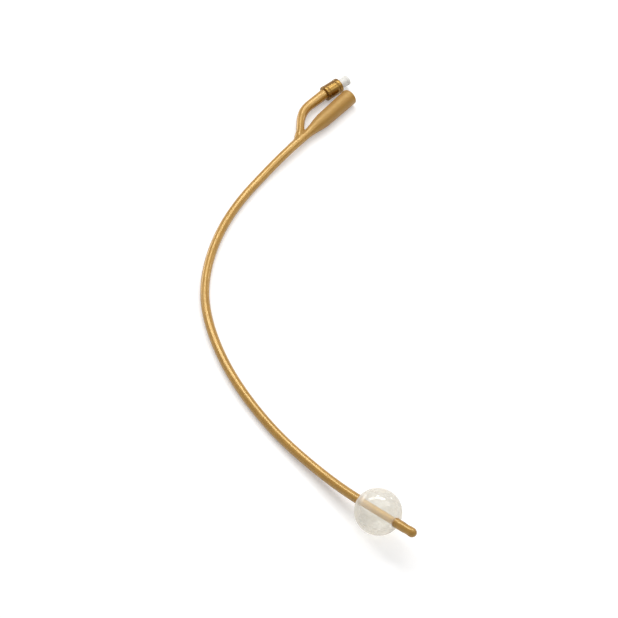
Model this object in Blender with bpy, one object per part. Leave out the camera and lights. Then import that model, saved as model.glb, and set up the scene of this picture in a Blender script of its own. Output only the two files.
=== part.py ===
"""A two-way Foley urinary catheter, 16 French and 400 mm long, with its balloon blown up.

It lies on a table as it comes to rest: the balloon stands on its own small flat spot, the shaft
runs down to the table, lies there in a loose C and rises to the drainage funnel.
The frame: metres, +Z up, the origin on the table under the balloon's centre, and +Y along the
funnel, out of its mouth. Lengths along the catheter are counted from the balloon's centre,
towards the funnel, and distances in the head back from the funnel's mouth.
"""

import math

import bpy
import numpy as np
from mathutils import Matrix, Vector

# The catheter as a whole
OVERALL_LENGTH = 0.400
TIP_LENGTH = 0.0273  # from the balloon's centre to the rounded end
SHAFT_DIAMETER = 0.00533
FIT_GAP = 0.0003  # between pieces that are bonded or pressed together

# The two lumens of the shaft
DRAIN_BORE = 0.0026
INFLATION_BORE = 0.0008
INFLATION_WALL = 0.0004  # outside the inflation lumen, under the balloon
SEPTUM = 0.0003  # between the two lumens
INFLATION_HOLE = 0.0007
INFLATION_END = 0.004  # the lumen's closed end, past the balloon's centre

# The closed tip and its drainage eyes
NOSE_LENGTH = 0.0030
NOSE_WALL = 0.0016
EYE_LENGTH = 0.0040
EYE_WIDTH = 0.0021
EYES_FROM_END = (0.0050, 0.0074)
EYE_ROLL = math.radians(-40)  # of the first eye, from level; the second is opposite

# The balloon
BALLOON_DIAMETER = 0.0252
BALLOON_LENGTH = 0.0262
BALLOON_WALL = 0.00025
DISTAL_CUFF = 0.0030
PROXIMAL_CUFF = 0.0045
FLAT_DEPTH = 0.00035  # how far the balloon settles into its flat spot

# The drainage funnel
FUNNEL_LENGTH = 0.052  # from the fork to the mouth
FUNNEL_PLAIN = 0.010  # of it still as thick as the shaft
FUNNEL_TAPER = 0.018
FUNNEL_MOUTH_DIAMETER = 0.0102
FUNNEL_NECK_DIAMETER = 0.0094
FUNNEL_WALL = 0.00135
FUNNEL_BORE_DEPTH = 0.026
FUNNEL_BORE_TAPER = 0.016
FUNNEL_BORE_DRAFT = 0.0004
RIM_RADIUS = 0.0005

# The inflation arm
ARM_BASE_DIAMETER = 0.0048
ARM_BEND_DIAMETER = 0.0059
ARM_END_DIAMETER = 0.0066
ARM_ROOT_SHARE = 0.4  # of the base diameter, where the arm starts inside the shaft
ARM_ROOT_REACH = 0.15  # of the arm's length, over which it swells to its base
ARM_BEND_SPAN = (0.3, 0.65)  # of the arm's length, in which it widens to the bend's size
ARM_END_SPAN = (0.6, 1.0)  # and in which it widens to the end's size
ARM_WALL = 0.00105
ARM_CHANNEL = 0.0014

# The inflation valve, along its own axis from the collar's inner end
COLLAR_LENGTH = 0.0115
COLLAR_WALL = 0.00085
COLLAR_BEAD = 0.00014
COLLAR_BEAD_LENGTH = 0.0011
HOUSING_STEP = 0.0001  # the housing is this much slimmer all round than the arm's end
HOUSING_OUT_OF_COLLAR = 0.0070
HOUSING_CHAMFER = 0.00025
PORT_BORE = 0.00427  # a syringe socket, with a taper of 6 in 100
PORT_TAPER = 0.06
PORT_DEPTH = 0.0062
SEAT_THICKNESS = 0.0009
TAIL_FLANGE = 0.0006
TAIL_LENGTH = 0.0111
TAIL_OUTLET = 0.0012
SPRING_POCKET = 0.0043
BARBS = 3
BARB_PITCH = 0.0019
BARB_HEIGHT = 0.00022
BARB_START = 0.6  # of a pitch, from the tail's end to the first crest
STEM_ROD_DIAMETER = 0.0012
STEM_DISC_DIAMETER = 0.0033
STEM_DISC_THICKNESS = 0.0005
STEM_HEAD_DIAMETER = 0.0020
STEM_HEAD_HEIGHT = 0.0018
STEM_ROD_BELOW_DISC = 0.0032
STEM_TRAVEL = 0.0015
RUNNING_GAP = 0.00015
FLOW_GAP = 0.0005  # room for water round the seal
SEAL_THICKNESS = 0.0004
SEAL_DIAMETER = 0.0036
SPRING_WIRE = 0.00026
SPRING_DIAMETER = 0.00246
SPRING_TURNS = 6.5

# Where it lies, seen from above: chosen points from the balloon to the fork. The last stretch
# runs along +Y, and the funnel goes on from there.
ROUTE = (
    (0.0, 0.0),
    (-0.0265, 0.0024),
    (-0.0518, 0.0060),
    (-0.0770, 0.0106),
    (-0.1020, 0.0175),
    (-0.1268, 0.0273),
    (-0.1513, 0.0411),
    (-0.1744, 0.0603),
    (-0.1915, 0.0848),
    (-0.2027, 0.1124),
    (-0.2082, 0.1409),
    (-0.2096, 0.1681),
    (-0.2096, 0.1933),
)
BALLOON_RAMP = 0.096  # length over which the shaft comes down from the balloon
HEAD_RAMP = 0.041  # length over which it rises to the funnel

# The arm's own route in the head: distance on from the fork, and sideways from the funnel
ARM_ROUTE = (
    (0.0085, 0.0037),
    (0.0144, 0.0079),
    (0.0216, 0.0124),
    (0.0278, 0.0141),
    (0.0330, 0.0140),
    (0.0386, 0.0136),
    (0.0439, 0.0132),
)
VALVE_TURN = math.radians(9.5)  # the valve's axis leans towards the funnel

# How finely the round forms are cut
SHAFT_STEP = 0.007
TIGHT_STEP = 0.002
BODY_SIDES = 24
LUMEN_SIDES = 12
FINE_SIDES = 8
ARM_SIDES = 18
BALLOON_SIDES = 32
BALLOON_RINGS = 21
VALVE_SIDES = 24
WIRE_SIDES = 6
TURN_STEPS = 12

SHAFT_RADIUS = SHAFT_DIAMETER / 2
SEAT_RADIUS = SHAFT_RADIUS - FIT_GAP
CUFF_RADIUS = SEAT_RADIUS + FIT_GAP + BALLOON_WALL
BALLOON_RADIUS = BALLOON_DIAMETER / 2
BALLOON_HALF = BALLOON_LENGTH / 2
BALLOON_HEIGHT = BALLOON_RADIUS - FLAT_DEPTH
MOUTH_RADIUS = FUNNEL_MOUTH_DIAMETER / 2
NECK_RADIUS = FUNNEL_NECK_DIAMETER / 2
HEAD_HEIGHT = MOUTH_RADIUS
MOUTH_AT = OVERALL_LENGTH - TIP_LENGTH
FORK_AT = MOUTH_AT - FUNNEL_LENGTH
INFLATION_OFFSET = SEAT_RADIUS - INFLATION_WALL - INFLATION_BORE / 2
DRAIN_OFFSET = SEPTUM + (DRAIN_BORE + INFLATION_BORE) / 2 - INFLATION_OFFSET
ARM_END_RADIUS = ARM_END_DIAMETER / 2
ARM_SOCKET_RADIUS = ARM_END_RADIUS - ARM_WALL
HOUSING_RADIUS = ARM_END_RADIUS - HOUSING_STEP
CHAMBER_RADIUS = SEAL_DIAMETER / 2 + FLOW_GAP
SEAT_BORE_RADIUS = STEM_HEAD_DIAMETER / 2 + RUNNING_GAP
POCKET_RADIUS = SPRING_DIAMETER / 2 + RUNNING_GAP

# Levels on the valve's axis, from the collar's inner end outwards
PORT_LEVEL = COLLAR_LENGTH + HOUSING_OUT_OF_COLLAR
SOCKET_FLOOR = PORT_LEVEL - PORT_DEPTH
SEAT_LEVEL = SOCKET_FLOOR - SEAT_THICKNESS
SEAL_LOW = SEAT_LEVEL - RUNNING_GAP - SEAL_THICKNESS
DISC_TOP = SEAL_LOW - RUNNING_GAP
DISC_LOW = DISC_TOP - STEM_DISC_THICKNESS
FLANGE_TOP = DISC_LOW - STEM_TRAVEL - RUNNING_GAP
FLANGE_LOW = FLANGE_TOP - TAIL_FLANGE
HOUSING_LOW = FLANGE_TOP + RUNNING_GAP
POCKET_FLOOR = FLANGE_TOP - SPRING_POCKET
TAIL_END = FLANGE_TOP - TAIL_LENGTH
ARM_END_LEVEL = FLANGE_LOW - FIT_GAP
SOCKET_LOW = TAIL_END - FIT_GAP


def ease(t):
    """A smooth step from 0 to 1, level at both ends."""
    t = np.clip(t, 0.0, 1.0)
    return t * t * (3 - 2 * t)


def spline(points, start_slope=None, end_slope=None, samples=1600):
    """Points along the smooth cubic through these points: free where no slope is given."""
    points = np.array(points, float)
    t = np.concatenate([[0], np.cumsum(np.linalg.norm(np.diff(points, axis=0), axis=1))])
    gaps = np.diff(t)
    rise = np.diff(points, axis=0) / gaps[:, None]
    count = len(points)
    rows = np.zeros((count, count))
    right = np.zeros_like(points)
    for i in range(1, count - 1):
        rows[i, i - 1 : i + 2] = gaps[i], 2 * (gaps[i - 1] + gaps[i]), gaps[i - 1]
        right[i] = 3 * (gaps[i] * rise[i - 1] + gaps[i - 1] * rise[i])
    ends = ((0, 1, rise[0], start_slope), (count - 1, count - 2, rise[-1], end_slope))
    for row, beside, chord, slope in ends:
        rows[row, row] = 1 if slope is not None else 2
        rows[row, beside] = 0 if slope is not None else 1
        right[row] = slope if slope is not None else 3 * chord
    slopes = np.linalg.solve(rows, right)
    at = np.linspace(0, t[-1], samples)
    span = np.clip(np.searchsorted(t, at, side="right") - 1, 0, count - 2)
    u = ((at - t[span]) / gaps[span])[:, None]
    g = gaps[span][:, None]
    return (
        (1 + 2 * u) * (1 - u) ** 2 * points[span]
        + u * (1 - u) ** 2 * g * slopes[span]
        + u * u * (3 - 2 * u) * points[span + 1]
        - u * u * (1 - u) * g * slopes[span + 1]
    )


def lengths_along(points):
    return np.concatenate([[0], np.cumsum(np.linalg.norm(np.diff(points, axis=0), axis=1))])


class Path:
    """A line in space by length, with a level side and an upper side at each place."""

    def __init__(self, points, start=0.0):
        self.points = np.array(points, float)
        self.lengths = lengths_along(self.points) + start
        slopes = np.gradient(self.points, self.lengths, axis=0)
        self.slopes = slopes / np.linalg.norm(slopes, axis=1)[:, None]

    def ahead(self, at):
        slope = np.array([np.interp(at, self.lengths, self.slopes[:, k]) for k in range(3)])
        return slope / np.linalg.norm(slope)

    def frame(self, at):
        """The place, the level side (left of the way) and the upper side."""
        inside = min(max(at, self.lengths[0]), self.lengths[-1])
        place = np.array([np.interp(inside, self.lengths, self.points[:, k]) for k in range(3)])
        ahead = self.ahead(inside)
        side = np.cross((0, 0, 1), ahead)
        side /= np.linalg.norm(side)
        return place + (at - inside) * ahead, side, np.cross(ahead, side)

    def ring(self, at, radius, sides, aside=0.0):
        """A circle of points square to the line, its centre moved aside."""
        place, side, up = self.frame(at)
        angles = 2 * math.pi * np.arange(sides) / sides
        around = np.outer(np.cos(angles), side) + np.outer(np.sin(angles), up)
        return place + aside * side + radius * around


def catheter_path():
    """The centreline from the tip to the mouth, with the balloon's centre at length 0.

    The height follows a soft tube that bends under its own weight from the table up to the
    balloon, and a smooth step up to the funnel.
    """
    plan = spline(ROUTE, end_slope=(0.0, 1.0))
    reach = OVERALL_LENGTH
    ahead = np.array([[0.0, 1.0]])
    back = (plan[0] - plan[1])[None] / np.linalg.norm(plan[0] - plan[1])
    steps = np.linspace(0, 1, 60)[1:, None]
    plan = np.concatenate([plan, plan[-1] + steps * reach * ahead])
    along = lengths_along(plan)
    t = np.clip(1 - along / BALLOON_RAMP, 0, 1)
    height = SHAFT_RADIUS + (BALLOON_HEIGHT - SHAFT_RADIUS) * (2 * t**3 - t**4)
    up_to_head = ease(1 - (FORK_AT - along) / HEAD_RAMP)
    height += (HEAD_HEIGHT - SHAFT_RADIUS) * up_to_head
    points = np.column_stack([plan, height])
    slope = points[0] - points[1]
    slope /= np.linalg.norm(slope)
    slope[:2] = back[0] * np.linalg.norm(slope[:2])
    tip = points[0] + steps[::-1] * TIP_LENGTH * slope
    return Path(np.concatenate([tip, points]), start=-TIP_LENGTH)


def beside(path, at, aside):
    """A point to the left of the catheter's centreline."""
    place, side, _ = path.frame(at)
    return place + aside * side


def arm_path(path):
    """The inflation arm's centreline, from the fork to the collar, and the valve's direction."""
    points = [beside(path, FORK_AT, INFLATION_OFFSET)]
    points += [beside(path, FORK_AT + on, aside) for on, aside in ARM_ROUTE]
    _, across, _ = path.frame(MOUTH_AT)
    onward = path.ahead(MOUTH_AT)
    valve_way = math.cos(VALVE_TURN) * onward - math.sin(VALVE_TURN) * across
    return Path(spline(points, path.ahead(FORK_AT), valve_way, 400)), valve_way


def material(name, colour, roughness, alpha=1.0, metallic=0.0):
    made = bpy.data.materials.new(name)
    made.use_nodes = True
    shader = made.node_tree.nodes["Principled BSDF"]
    shader.inputs["Base Color"].default_value = (*colour, 1.0)
    shader.inputs["Roughness"].default_value = roughness
    shader.inputs["Metallic"].default_value = metallic
    shader.inputs["Alpha"].default_value = alpha
    made.diffuse_color = (*colour, alpha)
    return made


def skin(name, rings, finish, loop=False, parent=None):
    """A closed mesh over rings of equal count: capped at both ends, or joined into a loop."""
    sides = len(rings[0])
    count = len(rings)
    faces = []
    for i in range(count if loop else count - 1):
        a = i * sides
        b = (i + 1) % count * sides
        for k in range(sides):
            n = (k + 1) % sides
            faces.append((a + k, a + n, b + n, b + k))
    if not loop:
        faces.append(tuple(reversed(range(sides))))
        faces.append(tuple(range((count - 1) * sides, count * sides)))
    mesh = bpy.data.meshes.new(name)
    mesh.from_pydata(np.concatenate(rings).tolist(), [], faces)
    mesh.materials.append(finish)
    mesh.shade_smooth()
    mesh.set_sharp_from_angle(angle=math.radians(40))
    made = bpy.data.objects.new(name, mesh)
    made.parent = parent
    bpy.context.scene.collection.objects.link(made)
    return made


def boolean(target, tool, operation):
    """Joins or cuts with a tool that isn't itself a piece."""
    tool.hide_render = True
    tool.display_type = "WIRE"
    made = target.modifiers.new(tool.name, "BOOLEAN")
    made.operation = operation
    made.solver = "EXACT"
    made.object = tool


def stations(start, end, step):
    """Even places from start to end, about a step apart, with both ends."""
    return list(np.linspace(start, end, max(2, math.ceil((end - start) / step) + 1)))


def funnel_radius(back):
    """The funnel's outside, by the distance back from its mouth: nearly straight, then an S."""
    taper_start = FUNNEL_LENGTH - FUNNEL_PLAIN
    straight = taper_start - FUNNEL_TAPER
    if back <= straight:
        return MOUTH_RADIUS + (NECK_RADIUS - MOUTH_RADIUS) * back / straight
    share = ease((taper_start - back) / FUNNEL_TAPER)
    return SHAFT_RADIUS + (NECK_RADIUS - SHAFT_RADIUS) * share


def bore_radius(back):
    """The drainage bore, by the distance back from the mouth, drafted and then drawn in."""
    mouth = MOUTH_RADIUS - FUNNEL_WALL
    inner = mouth - FUNNEL_BORE_DRAFT
    if back <= FUNNEL_BORE_DEPTH:
        return mouth + (inner - mouth) * back / FUNNEL_BORE_DEPTH
    share = ease((back - FUNNEL_BORE_DEPTH) / FUNNEL_BORE_TAPER)
    return inner + (DRAIN_BORE / 2 - inner) * share


def body_outline():
    """The catheter's outer radius by length: nose, tip, balloon seat, shaft, funnel and rim."""
    outline = []
    for angle in np.radians((14, 30, 46, 62, 76, 90)):
        outline.append((
            -TIP_LENGTH + NOSE_LENGTH * (1 - math.cos(angle)),
            SHAFT_RADIUS * math.sin(angle),
        ))
    shoulder = FIT_GAP / 2
    seat_start = -BALLOON_HALF - DISTAL_CUFF - FIT_GAP
    seat_end = BALLOON_HALF + PROXIMAL_CUFF + FIT_GAP
    nose_end = outline[-1][0]
    outline += [(s, SHAFT_RADIUS) for s in stations(nose_end, seat_start, SHAFT_STEP)[1:]]
    seat = stations(seat_start + shoulder, seat_end - shoulder, SHAFT_STEP)
    outline += [(s, SEAT_RADIUS) for s in seat]
    outline += [(s, SHAFT_RADIUS) for s in stations(seat_end, FORK_AT, SHAFT_STEP)]
    taper_end = FORK_AT + FUNNEL_PLAIN + FUNNEL_TAPER
    rim_start = MOUTH_AT - RIM_RADIUS
    head = stations(FORK_AT, taper_end, TIGHT_STEP)[1:]
    head += stations(taper_end, rim_start, SHAFT_STEP)[1:]
    outline += [(s, funnel_radius(MOUTH_AT - s)) for s in head]
    for angle in np.radians((35, 65, 90)):
        outline.append((
            rim_start + RIM_RADIUS * math.sin(angle),
            MOUTH_RADIUS - RIM_RADIUS * (1 - math.cos(angle)),
        ))
    return outline


def drain_outline():
    """The drainage lumen from its blind end to past the mouth: length, radius and offset."""
    start = -TIP_LENGTH + NOSE_WALL
    dome = DRAIN_BORE / 2
    outline = []
    for angle in np.radians((25, 55, 90)):
        along = start + dome * (1 - math.cos(angle))
        outline.append((along, dome * math.sin(angle), -DRAIN_OFFSET))
    past = 0.002
    lumen_end = MOUTH_AT - FUNNEL_BORE_DEPTH - FUNNEL_BORE_TAPER
    for s in stations(outline[-1][0], lumen_end, SHAFT_STEP)[1:]:
        outline.append((s, dome, -DRAIN_OFFSET))
    bore_start = MOUTH_AT - FUNNEL_BORE_DEPTH
    for s in stations(lumen_end, bore_start, TIGHT_STEP)[1:]:
        share = ease((s - lumen_end) / FUNNEL_BORE_TAPER)
        outline.append((s, bore_radius(MOUTH_AT - s), -DRAIN_OFFSET * (1 - share)))
    for s in (MOUTH_AT, MOUTH_AT + past):
        outline.append((s, bore_radius(MOUTH_AT - s), 0.0))
    return outline


def arm_radius(along, length):
    """The arm swells out of the shaft, then widens through its bend to its end."""
    base = ARM_BASE_DIAMETER / 2
    bend = ARM_BEND_DIAMETER / 2
    share = along / length
    root = base * ARM_ROOT_SHARE
    rooted = root + (base - root) * ease(share / ARM_ROOT_REACH)
    to_bend, to_end = (
        ease((share - start) / (end - start)) for start, end in (ARM_BEND_SPAN, ARM_END_SPAN)
    )
    return rooted + (bend - base) * to_bend + (ARM_END_RADIUS - bend) * to_end


def latex_body(path, arm):
    """The one-piece moulding: outer form, arm, lumens, eyes and the hole under the balloon."""
    latex = material("silicone coated latex", (0.56, 0.31, 0.09), 0.25)
    rings = [path.ring(s, r, BODY_SIDES) for s, r in body_outline()]
    body = skin("latex_body", rings, latex)

    length = arm.lengths[-1]
    places = stations(0.0, length, TIGHT_STEP) + [length + ARM_END_LEVEL]
    rings = [arm.ring(s, arm_radius(s, length), ARM_SIDES) for s in places]
    boolean(body, skin("inflation_arm_form", rings, latex), "UNION")

    rings = [path.ring(s, r, LUMEN_SIDES, aside) for s, r, aside in drain_outline()]
    boolean(body, skin("drainage_lumen", rings, latex), "DIFFERENCE")

    fine = INFLATION_BORE / 2
    socket_start = length + SOCKET_LOW
    rings = [
        path.ring(s, fine, FINE_SIDES, INFLATION_OFFSET)
        for s in stations(-INFLATION_END, FORK_AT, SHAFT_STEP)[:-1]
    ]
    for s in stations(0.0, socket_start + ARM_WALL, TIGHT_STEP):
        wide = fine + (ARM_CHANNEL / 2 - fine) * ease(s / socket_start)
        rings.append(arm.ring(s, wide, FINE_SIDES))
    boolean(body, skin("inflation_lumen", rings, latex), "DIFFERENCE")

    places = (socket_start, length, length + ARM_END_LEVEL + ARM_WALL)
    rings = [arm.ring(s, ARM_SOCKET_RADIUS, ARM_SIDES) for s in places]
    boolean(body, skin("valve_socket", rings, latex), "DIFFERENCE")

    for number, from_end in enumerate(EYES_FROM_END):
        cut_eye(body, path, from_end, EYE_ROLL + number * math.pi, latex)

    hole = Path([beside(path, 0.0, INFLATION_OFFSET), beside(path, 0.0, SHAFT_DIAMETER)])
    rings = [hole.ring(s, INFLATION_HOLE / 2, FINE_SIDES) for s in (0, hole.lengths[-1])]
    boolean(body, skin("inflation_hole", rings, latex), "DIFFERENCE")
    return body


def cut_eye(body, path, from_end, roll, finish):
    """One drainage eye: an oval channel from the lumen out through the wall."""
    place, side, up = path.frame(-TIP_LENGTH + from_end)
    along = path.ahead(-TIP_LENGTH + from_end)
    out = math.cos(roll) * side + math.sin(roll) * up
    across = np.cross(out, along)
    angles = 2 * math.pi * np.arange(16) / 16
    oval = np.outer(np.cos(angles), along) * EYE_LENGTH / 2
    oval += np.outer(np.sin(angles), across) * EYE_WIDTH / 2
    centre = place - DRAIN_OFFSET * side
    rings = [centre + oval, centre + oval + 2 * SHAFT_RADIUS * out]
    boolean(body, skin("drainage_eye_cut", rings, finish), "DIFFERENCE")


def inflation_balloon(path):
    """A thin sleeve blown up into a slightly long ball, with a cuff on the shaft at each end.

    What would reach below the table lies flat on it.
    """
    clear = material("clear balloon film", (0.80, 0.78, 0.74), 0.08, alpha=0.35)

    def side_of_wall(radius, half, cuff, lowest):
        lean = math.asin(cuff / radius)
        angles = np.linspace(lean, math.pi - lean, BALLOON_RINGS)
        profile = [(-half * math.cos(lean) - DISTAL_CUFF, cuff)]
        profile += [(-half * math.cos(a), radius * math.sin(a)) for a in angles]
        profile.append((half * math.cos(lean) + PROXIMAL_CUFF, cuff))
        rings = [path.ring(s, r, BALLOON_SIDES) for s, r in profile]
        for ring in rings:
            ring[:, 2] = np.maximum(ring[:, 2], lowest)
        return rings

    outer = side_of_wall(BALLOON_RADIUS, BALLOON_HALF, CUFF_RADIUS, 0.0)
    inner = side_of_wall(
        BALLOON_RADIUS - BALLOON_WALL,
        BALLOON_HALF - BALLOON_WALL,
        CUFF_RADIUS - BALLOON_WALL,
        BALLOON_WALL,
    )
    return skin("inflation_balloon", outer + inner[::-1], clear, loop=True)


def turned(name, profile, finish, parent, loop=True, flutes=None):
    """A turned piece on its parent's +Z: profile points are (radius, height)."""
    angles = 2 * math.pi * np.arange(VALVE_SIDES) / VALVE_SIDES
    rings = []
    for index, (radius, height) in enumerate(profile):
        around = np.full(VALVE_SIDES, float(radius))
        if flutes and index in flutes:
            around *= 1 - 0.35 * (0.5 - 0.5 * np.cos(4 * angles))
        level = np.full(VALVE_SIDES, float(height))
        rings.append(np.column_stack([around * np.cos(angles), around * np.sin(angles), level]))
    return skin(name, rings, finish, loop=loop, parent=parent)


def valve_mount(arm, valve_way):
    """An empty at the collar's inner end, with its +Z out along the valve."""
    empty = bpy.data.objects.new("inflation_valve", None)
    place = Vector(arm.points[-1])
    turn = Vector(valve_way).to_track_quat("Z", "X").to_matrix().to_4x4()
    empty.matrix_world = Matrix.Translation(place) @ turn
    bpy.context.scene.collection.objects.link(empty)
    return empty


def collar(valve):
    amber = material("amber rubber sleeve", (0.36, 0.16, 0.02), 0.18)
    inner = ARM_END_RADIUS + FIT_GAP
    outer = inner + COLLAR_WALL
    bead = outer + COLLAR_BEAD
    ramp = COLLAR_BEAD_LENGTH / 4
    end = COLLAR_LENGTH
    profile = [
        (inner, 0.0),
        (outer, 0.0),
        (bead, ramp),
        (bead, 3 * ramp),
        (outer, 4 * ramp),
        (outer, end - 4 * ramp),
        (bead, end - 3 * ramp),
        (bead, end - ramp),
        (outer, end),
        (inner, end),
    ]
    return turned("valve_collar", profile, amber, valve)


def housing(valve):
    """White valve body: tapered syringe socket, valve seat and the chamber below it."""
    plastic = material("white translucent plastic", (0.80, 0.79, 0.75), 0.3, alpha=0.9)
    outer = HOUSING_RADIUS
    mouth = PORT_BORE / 2
    floor = mouth - PORT_TAPER * PORT_DEPTH / 2
    chamfer = HOUSING_CHAMFER
    profile = [
        (CHAMBER_RADIUS, HOUSING_LOW),
        (outer, HOUSING_LOW),
        (outer, PORT_LEVEL - chamfer),
        (outer - chamfer, PORT_LEVEL),
        (mouth, PORT_LEVEL),
        (floor, SOCKET_FLOOR),
        (SEAT_BORE_RADIUS, SOCKET_FLOOR),
        (SEAT_BORE_RADIUS, SEAT_LEVEL),
        (CHAMBER_RADIUS, SEAT_LEVEL),
    ]
    return turned("valve_housing", profile, plastic, valve)


def tail(valve):
    """Barbed tube that holds the valve in the arm, with the spring's pocket."""
    plastic = material("white valve plastic", (0.78, 0.77, 0.74), 0.4)
    crest = ARM_SOCKET_RADIUS - FIT_GAP
    root = crest - BARB_HEIGHT
    profile = [(TAIL_OUTLET / 2, TAIL_END), (root - BARB_HEIGHT, TAIL_END)]
    for number in range(BARBS):
        low = TAIL_END + (number + BARB_START) * BARB_PITCH
        profile += [(crest, low), (root, low + BARB_HEIGHT)]
    profile += [
        (root, FLANGE_LOW),
        (HOUSING_RADIUS, FLANGE_LOW),
        (HOUSING_RADIUS, FLANGE_TOP),
        (POCKET_RADIUS, FLANGE_TOP),
        (POCKET_RADIUS, POCKET_FLOOR),
        (TAIL_OUTLET / 2, POCKET_FLOOR),
    ]
    return turned("valve_tail", profile, plastic, valve)


def stem(valve):
    """The plunger: guide rod in the spring, disc under the seal, fluted head in the socket."""
    plastic = material("valve stem plastic", (0.70, 0.70, 0.68), 0.35)
    rod = STEM_ROD_DIAMETER / 2
    head = STEM_HEAD_DIAMETER / 2
    disc = STEM_DISC_DIAMETER / 2
    chamfer = rod / 3
    low = DISC_LOW - STEM_ROD_BELOW_DISC
    head_low = SOCKET_FLOOR - RUNNING_GAP
    top = head_low + STEM_HEAD_HEIGHT
    profile = [
        (rod - chamfer, low),
        (rod, low + chamfer),
        (rod, DISC_LOW),
        (disc, DISC_LOW),
        (disc, DISC_TOP),
        (rod, DISC_TOP),
        (rod, head_low),
        (head, head_low),
        (head, top - chamfer),
        (head - chamfer, top),
    ]
    return turned("valve_stem", profile, plastic, valve, loop=False, flutes=(7, 8, 9))


def seal(valve):
    """A soft ring round the stem's neck, between its disc and the seat."""
    rubber = material("valve seal rubber", (0.30, 0.29, 0.28), 0.6)
    inner = STEM_ROD_DIAMETER / 2 + RUNNING_GAP
    outer = SEAL_DIAMETER / 2
    low = SEAL_LOW
    top = low + SEAL_THICKNESS
    edge = SEAL_THICKNESS / 4
    profile = [
        (inner, low),
        (outer - edge, low),
        (outer, low + edge),
        (outer, top - edge),
        (outer - edge, top),
        (inner, top),
    ]
    return turned("valve_seal", profile, rubber, valve)


def spring(valve):
    """A closed-ended coil spring between the tail's pocket and the stem's disc."""
    steel = material("stainless spring wire", (0.62, 0.61, 0.60), 0.25, metallic=1.0)
    wire = SPRING_WIRE / 2
    mean = (SPRING_DIAMETER - SPRING_WIRE) / 2
    low = POCKET_FLOOR + RUNNING_GAP + wire
    top = DISC_LOW - RUNNING_GAP - wire
    share = np.linspace(0, 1, int(SPRING_TURNS * TURN_STEPS) + 1)
    closed = 1 / SPRING_TURNS
    dead = SPRING_WIRE * 1.15
    lift = np.interp(
        share,
        (0, closed, 1 - closed, 1),
        (low, low + dead, top - dead, top),
    )
    turn = 2 * math.pi * SPRING_TURNS * share
    line = np.column_stack([mean * np.cos(turn), mean * np.sin(turn), lift])
    path = Path(line)
    rings = [path.ring(s, wire, WIRE_SIDES) for s in path.lengths]
    return skin("valve_spring", rings, steel, parent=valve)


def main():
    for old in list(bpy.data.objects):
        bpy.data.objects.remove(old)
    path = catheter_path()
    arm, valve_way = arm_path(path)
    latex_body(path, arm)
    inflation_balloon(path)
    valve = valve_mount(arm, valve_way)
    collar(valve)
    housing(valve)
    tail(valve)
    stem(valve)
    seal(valve)
    spring(valve)


main()
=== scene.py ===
"""The looks of a balloon catheter that lies on a white table in soft studio light.

Lengths are in metres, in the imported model's own frame. Lengths along the catheter count from the
balloon's centre, towards the drainage funnel, and levels on the valve from the collar's inner end.
"""

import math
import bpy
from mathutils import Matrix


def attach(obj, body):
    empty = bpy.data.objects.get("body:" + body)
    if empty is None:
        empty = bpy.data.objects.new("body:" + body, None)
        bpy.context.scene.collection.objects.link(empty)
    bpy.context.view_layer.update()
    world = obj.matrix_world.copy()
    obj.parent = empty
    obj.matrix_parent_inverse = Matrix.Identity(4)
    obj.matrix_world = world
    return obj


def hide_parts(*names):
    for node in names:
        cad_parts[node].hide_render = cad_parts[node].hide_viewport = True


bl_info = {
    "name": "Balloon Catheter",
    "version": (1, 0, 0),
    "blender": (4, 5, 0),
    "location": "3D View > Sidebar > Catheter",
    "description": "Builds a latex balloon catheter with its valve, on a white studio table",
    "category": "Add Mesh",
}

import bpy
import numpy as np
from bpy.props import FloatProperty, FloatVectorProperty, PointerProperty
from mathutils import Matrix

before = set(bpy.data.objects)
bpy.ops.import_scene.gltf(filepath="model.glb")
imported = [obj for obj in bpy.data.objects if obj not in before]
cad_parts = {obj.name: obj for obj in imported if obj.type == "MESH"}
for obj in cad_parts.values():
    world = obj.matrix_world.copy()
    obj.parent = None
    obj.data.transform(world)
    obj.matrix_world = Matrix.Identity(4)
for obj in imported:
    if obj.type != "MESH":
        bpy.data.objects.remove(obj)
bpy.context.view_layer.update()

# The way the shaft lies on the table, seen from above, from the balloon to just past the fork
ROUTE = (
    (0.0, 0.0),
    (-0.0265, 0.0024),
    (-0.0518, 0.0060),
    (-0.0770, 0.0106),
    (-0.1020, 0.0175),
    (-0.1268, 0.0273),
    (-0.1513, 0.0411),
    (-0.1744, 0.0603),
    (-0.1915, 0.0848),
    (-0.2027, 0.1124),
    (-0.2082, 0.1409),
    (-0.2096, 0.1681),
    (-0.2096, 0.1933),
)
BALLOON_RAMP = 0.096  # the shaft comes down from the balloon over this length
HEAD_RAMP = 0.041  # and rises to the funnel over this one

# The inflation arm: distance on from the fork, and sideways from the funnel
ARM_ROUTE = (
    (0.0, 0.00155),
    (0.0085, 0.0037),
    (0.0144, 0.0079),
    (0.0216, 0.0124),
    (0.0278, 0.0141),
    (0.0330, 0.0140),
    (0.0386, 0.0136),
    (0.0439, 0.0132),
)
VALVE_LEAN = math.radians(9.5)  # the arm's end leans towards the funnel

# The round corner where the arm leaves the funnel
CORNER = 0.0013  # its reach
CORNER_ON_FUNNEL = 0.024  # how far on from the fork the funnel is looked at for it
CORNER_ON_ARM = 0.022  # and the arm, from its own start
FUNNEL_SEARCH = (-0.006, 0.034)  # part of the funnel that can be nearest, from the fork
ARM_SEARCH = (0.0, 0.024)  # and of the arm

# Where two skins of the one moulding meet, each runs on under the other
SEAM = np.array((0.0002, 0.003))  # how far past the seam its last rings lie
SEAM_IN = 0.00005  # and how far under the other skin

# The two drainage eyes: distance from the rounded end, and angle round the shaft
EYES = ((0.0050, math.radians(-40)), (0.0074, math.radians(140)))
EYE_DEPTH = 0.0023
EYE_LIP = 0.00018  # the lip's roundness

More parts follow.
